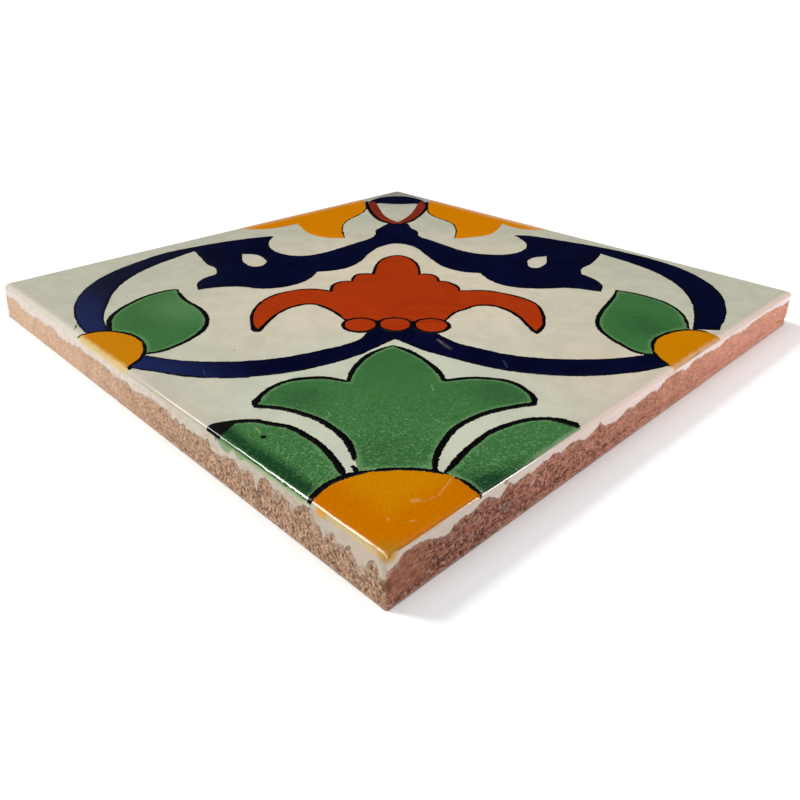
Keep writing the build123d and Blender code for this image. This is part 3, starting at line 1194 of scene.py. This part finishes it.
left_leaf = [
    [(-40.8, -2.2), (-42.8, -3.3), (-45.1, -5.6), (-46.9, -8.9), (-48.1, -12.6), (-48.3, -15.8),
     (-47.6, -18.6)],
    [(-46.4, -21), (-43.2, -22.1), (-40.8, -23.9), (-39.3, -26.2)],
    [(-38.3, -29.2), (-36.2, -28.4), (-34.2, -26.2), (-32.5, -23.3), (-31.5, -20), (-31.6, -17),
     (-32.6, -13.9),
     (-34.7, -10.7), (-37.4, -7.9), (-39.2, -5.3)],
]
right_leaf = [
    [(42, -0.2), (44.6, -1.7), (47.4, -3.9), (49.4, -6.6), (50.4, -10), (50.3, -13.7)],
    [(49.5, -17.5), (47, -18.5), (44.7, -20), (42.8, -21.7), (41.4, -24.4)],
    [(41, -27.4), (38.8, -27), (36.7, -24.1), (35.2, -20.8), (34.6, -17.5), (35.2, -14), (36.7, -10.5),
     (38.7, -6.9), (40.5, -3.7)],
]
glaze_field("green_palmette", [palmette], green)
glaze_field("green_petal_left", [left_petal], green, gap=0.2)
glaze_field("green_petal_right", [right_petal], green, gap=0.32)
glaze_field("green_leaf_left", [left_leaf], green)
glaze_field("green_leaf_right", [right_leaf], green)
petal_tip = [
    [(-24.4, -51.4)],
    [(-23.7, -50.3), (-23.3, -49.6), (-22.4, -49.1), (-21.2, -48.8)],
    [(-20.1, -49.1)],
    [(-20.9, -51.1), (-21.5, -52.4)],
    [(-22, -54)],
]
black, tree = new_material("black_glaze")
black_tones = [(0.014, 0.014, 0.013), (0.004, 0.004, 0.004), (0.002, 0.002, 0.002)]
finish_glaze(brushed(tree, *black_tones, Mottle=0.7, Speckle=0.5))
glaze_field("dark_petal_tip", [petal_tip], black, top=7.03, gap=0.1)
brush_lines(
    "green_outlines",
    [
        ([palmette[0] + palmette[1][:1]], 0.95, False),
        ([palmette[1] + [(-18.5, -43.6)]], 1.0, False),
        ([palmette[2]], 1.0, False),
        ([[(-18.1, -42.0), (-18.5, -43.4), (-18.5, -44.6)]], 1.3, False),
        ([[(-18.6, -44.7), (-18.0, -44.8), (-16.9, -44.9)]], 1.15, False),
        ([[(-4.4, -58.5), (-3.9, -59.2), (-3.7, -59.9)]], 0.85, False),
        (palmette[4:] + [[palmette[0][0]]], 1.0, False),
        ([left_petal[0] + [left_petal[1][0]]], 1.05, False),
        ([[(-16.3, -52.6), (-16.0, -52.5), (-15.7, -52.6)]], 0.95, False),
        ([right_petal[0] + [right_petal[1][0]]], 1.05, False),
        ([[(21.3, -47.4), (22.8, -47.9), (24.0, -48.6), (24.5, -49.2)]], 1.5, False),
        ([left_leaf[0] + [left_leaf[1][0]]], 1.0, False),
        ([left_leaf[2] + [left_leaf[0][0]]], 0.9, False),
        ([[(-38.3, -29.2), (-37.5, -29.1)]], 1.1, False),
        ([right_leaf[0] + [right_leaf[1][0]]], 0.8, False),
        ([right_leaf[2] + [right_leaf[0][0]]], 0.85, False),
    ],
    dark_brush,
)

# Yellow quarter flower, half flowers and back petals
# Antimony yellow glaze that turns orange where it is thick. The neighbour tiles carry the rest of each
# flower.
yellow, tree = new_material("yellow_glaze")
place = use_effect(tree, tile_place)
pooled = times_plus(noise(tree, 300, 2, 0.5), 2.2, reckon("ADD", place["Nearest"], -1.1))
pooled = times(spread(pooled, 7.0, 2.5), spread(place["Along"], 0.5, 0.3))
yellow_tones = [(0.53, 0.25, 0.02), (0.475, 0.175, 0.0), (0.45, 0.13, 0.0)]
colour = brushed(tree, *yellow_tones, Pool=pooled, Mottle=0.12, Speckle=0.2, Grain=0.7)
colour = mark_spots(colour, [((-51.6, -52.5, 7), 3.2, 0.9, 0.6, (0.30, 0.16, 0.01))])
colour = blend(spread(place["Along"], 0.5, 1.4), colour, (0.56, 0.185, 0.0))
scuffs = [
    ((5.7, -64.0), (7.2, -60.9), 0.22, 0.45, (0.62, 0.36, 0.14)),
    ((3.9, -65.2), (5.3, -64.2), 0.22, 0.3, (0.62, 0.36, 0.14)),
    ((2.7, -65.1), (3.4, -64.9), 0.8, 0.32, (0.62, 0.36, 0.16)),
    ((0.0, -68.2), (0.2, -68.4), 0.45, 0.3, (0.62, 0.33, 0.12)),
    ((2.4, -68.6), (3.0, -68.4), 0.3, 0.3, (0.62, 0.36, 0.16)),
]
colour = scratched(colour, scuffs)
# towards the edges the yellow thins out over the cream, widest at the back
fading = times_plus(noise(tree, 600, 2, 0.5), 0.8, reckon("ADD", place["Nearest"], -0.4))
fading = reckon("DIVIDE", fading, spread(place["Along"], 1.0, 1.4, 1.35, 3.0))
fading = times(spread(fading, 1.0, 0.1), spread(place["Along"], 0.3, 0.5))
near_fade = times(spread(place["Left"], 0.5, 0.2), spread(place["Along"], 0.4, 0.3))
faded = blend(spread(place["Left"], 6.0, 2.0), (0.62, 0.39, 0.24), (0.64, 0.50, 0.22))
colour = tint(colour, reckon("MAXIMUM", fading, near_fade), 0.85, faded)
finish_glaze(colour, spread(place["Nearest"], 1.0, 0.3, 0.08, 0.13), 0.2)
left_flower_arc = [
    (-51.6, -24.4), (-49.7, -22), (-47.7, -21.2), (-45.2, -21.4), (-42.6, -22.5), (-40.4, -24.5),
    (-39, -27),
    (-38.4, -29.7), (-38.6, -32.2), (-40.4, -35.5),
]
right_flower_arc = [
    (42.6, -32.6), (41.3, -29.6), (41, -27), (41.5, -24.3), (42.8, -21.7), (44.8, -19.9), (47.3, -18.5),
    (49.8, -18.0), (51.6, -18.5), (52.9, -19.6), (53.6, -21.1),
]
front_flower = [flower_arc, [(12, -66)], [(0, -80)], [(-12, -68)]]
left_flower = [left_flower_arc, [(-43, -39)], [(-54, -27)]]
right_flower = [right_flower_arc, [(56, -22)], [(46, -36)]]
back_petal_left = [
    [(-8.6, 61.3), (-8.1, 57.6), (-8.3, 52.9), (-9.4, 49.7), (-11.2, 46.1), (-12.5, 42.4), (-12.8, 38.2),
     (-12.3, 33.9)],
    [(-11.7, 30.3), (-14.6, 30.3), (-17.3, 31.3), (-19.9, 33.4), (-21.5, 36.1), (-22.8, 39.2)],
    [(-23.7, 41.2), (-26.6, 38.6), (-31.2, 36.4)],
    [(-36, 36.5)],
    [(-44, 40)],
    [(-12, 72)],
]
back_petal_right = [
    [(8.3, 61.3), (8, 56.6), (8, 52.4), (9.3, 48.7), (11.7, 45.5), (13.5, 42.4), (14.1, 38.2),
     (13.8, 33.9)],
    [(13.3, 30.8), (15.9, 31.4), (18.5, 32.4), (21.2, 33.9), (23.3, 37.1), (24.6, 40.3)],
    [(25.4, 42.9), (27.6, 40.2), (31.2, 38.2)],
    [(36, 38.4)],
    [(44, 42)],
    [(12, 72)],
]
glaze_field("yellow_front_flower", [front_flower], yellow, gap=0.24)
glaze_field("yellow_left_flower", [left_flower], yellow)
glaze_field("yellow_right_flower", [right_flower], yellow)
glaze_field("yellow_back_petal_left", [back_petal_left], yellow)
glaze_field("yellow_back_petal_right", [back_petal_right], yellow)
brush_lines(
    "yellow_outlines",
    [
        ([flower_arc[:6]], 1.0, False),
        ([flower_arc[5:10]], 0.85, False),
        ([flower_arc[9:]], 0.85, False),
        ([[(-50.8, -23.2)] + left_flower_arc[1:9] + [(-39.2, -33.4)]], 0.8, False),
        ([[(41.9, -31.2)] + right_flower_arc[1:9] + [(52.3, -18.9)]], 0.75, False),
        ([[(-52.9, -19.0), (-52.7, -20.6)]], 0.35, False),
        ([[(-50.4, -22.3), (-51.0, -23.3)]], 0.8, False),
        ([[(-39.1, -33.0), (-38.9, -34.6)]], 0.9, False),
        ([[(41.4, -30.2), (42.0, -31.4)]], 0.95, False),
        ([back_petal_left[0] + [back_petal_left[1][0]]], 0.5, False),
        ([back_petal_right[0] + [back_petal_right[1][0]]], 0.5, False),
    ],
    dark_brush,
)

# Brick red flower with beads
# An iron red over the cream, the driest of the colours, with three beads at its foot.
red, tree = new_material("brick_red_glaze")
turned_place = {"Vector": object_place(tree), "Rotation": (0, 0, math.radians(45))}
turned_place = add_node(tree, "Mapping", turned_place)["Vector"]
bristles = noise(tree, 420, 3, 0.6, vector=turned_place, stretch=(0.16, 1, 1))
bristles = spread(bristles, 0.4, 0.68, 0.0, 0.28)
red_tones = [(0.48, 0.06, 0.012), (0.365, 0.034, 0.003), (0.25, 0.02, 0.003)]
finish_glaze(brushed(tree, *red_tones, Pool=bristles, Mottle=0.3, Speckle=0.25), 0.14)
dark_red, tree = new_material("dark_red_glaze")
dark_red_tones = [(0.30, 0.035, 0.014), (0.22, 0.023, 0.011), (0.13, 0.014, 0.007)]
finish_glaze(brushed(tree, *dark_red_tones, Mottle=0.4, Speckle=0.25), 0.14)
red_flower = [
    [(-4.3, 7.1), (-6, 7.3), (-7.3, 6.8), (-8, 5.3)],
    [(-8.2, 3), (-9.3, 3), (-10.8, 2.3), (-11.7, 0.7)],
    [(-11.8, -2.4), (-14.2, -1.5), (-17, -1.5), (-19.6, -2.6), (-22.2, -4.8), (-23.8, -7.8), (-24.5, -12),
     (-24.2, -15.7), (-23.3, -18.9)],
    [(-22.5, -20.4), (-21.7, -18.1), (-21, -15.3), (-19.8, -12.3), (-17.6, -9.6), (-14.7, -8.5),
     (-12.4, -9.9),
     (-10.4, -12)],
    [(-8.2, -15.4)],
    [(-7.0, -15.9)],
    [(7.6, -15.9)],
    [(8.8, -15.2), (10.7, -11.7), (12.7, -10), (14.7, -8.5), (17.3, -8.3), (19.6, -9.8), (21.6, -13),
     (22.8, -17)],
    [(23.7, -20), (25, -17.7), (25.8, -14.3), (26, -10.6), (25.5, -7.5), (24.2, -5.3), (22.2, -3.6),
     (19.9, -2.3), (17.6, -1.3)],
    [(12.1, -1.4), (11.9, 0.7), (11, 2.3), (10, 3.3)],
    [(8.5, 3.6), (8.2, 5.7), (7.3, 7), (6, 7.5)],
    [(4.8, 7.2), (4.8, 9.7), (4.5, 12.7), (3.7, 15.3), (2.2, 17.6), (0.3, 18.6), (-1.4, 17.6), (-2.8, 15.7),
     (-3.6, 13.3), (-4, 10.3)],
]


def round_outline(across, deep, radius):
    """A round dot of the pattern, as eight points."""
    lean = radius * half_root
    around = [(0, radius), (lean, lean), (radius, 0), (lean, -lean)]
    around += [(-a, -d) for a, d in around]
    return [(across + a, deep + d) for a, d in around]


beads = [(-5.6, -17.5, 2.85), (0.3, -17.1, 2.75), (6.4, -17.4, 2.9)]
glaze_field("red_flower", [red_flower], red)
for number, (across, deep, radius) in enumerate(beads):
    bead = round_outline(across, deep, radius)
    glaze_field("red_bead_%d" % number, [[bead]], red, top=7.03)
brush_lines(
    "red_outlines",
    [
        (red_flower, 0.7, True),
        ([[(-23.9, -16.8), (-23.4, -18.9), (-22.8, -20.3)], [(-22.3, -20.3), (-21.4, -17.6)]], 0.95, False),
        ([[(22.9, -17.0), (23.5, -19.4)], [(23.9, -19.4), (24.9, -17.6)]], 0.9, False),
    ],
    dark_brush,
)
brush_lines(
    "bead_outlines",
    [([round_outline(*bead)], 0.7, True) for bead in beads],
    dark_brush,
    top=7.0,
)

# Back tongue
# A cream tongue that points to the middle, inside a red stroke, with a cobalt cap near the back
# corner.
tongue_stroke = [
    [(-6.4, 62.0), (-6.1, 57.6), (-5.3, 53.4), (-4.3, 49.4), (-2.7, 45.6), (0.2, 42.2)],
    [(0.2, 42.2), (2.7, 45.6), (4.3, 49.4), (5.4, 53.4), (6.2, 57.6), (6.4, 62.0)],
]
cap = [
    [(-7.8, 60.9), (-6.4, 64.0), (-3.6, 66.8), (0.1, 67.9), (3.8, 66.8), (6.4, 64.0)],
    [(7.8, 60.9), (6.6, 60.2), (5.6, 60.1)],
    [(4.4, 60.5), (2.2, 60.0), (0.1, 59.8), (-2.2, 60.0)],
    [(-4.4, 60.5), (-5.6, 60.1), (-6.8, 60.2)],
]
glaze_field("cobalt_cap", [cap], cobalt)
outer_edge = [
    [(-8.0, 62.3), (-7.6, 57.6), (-6.6, 53.2), (-5.4, 48.6), (-3.6, 44.6), (-1.0, 41.8)],
    [(1.3, 41.8), (3.5, 44.7), (5.2, 48.7), (6.6, 53.2), (7.5, 57.6), (7.9, 62.3)],
]
brush_lines("tongue_edge", [([run], 1.3, False) for run in outer_edge], dark_brush, height=0.03)
brush_lines("red_tongue", [([run], 2.3, False) for run in tongue_stroke], dark_red, height=0.045, ragged=0.05)
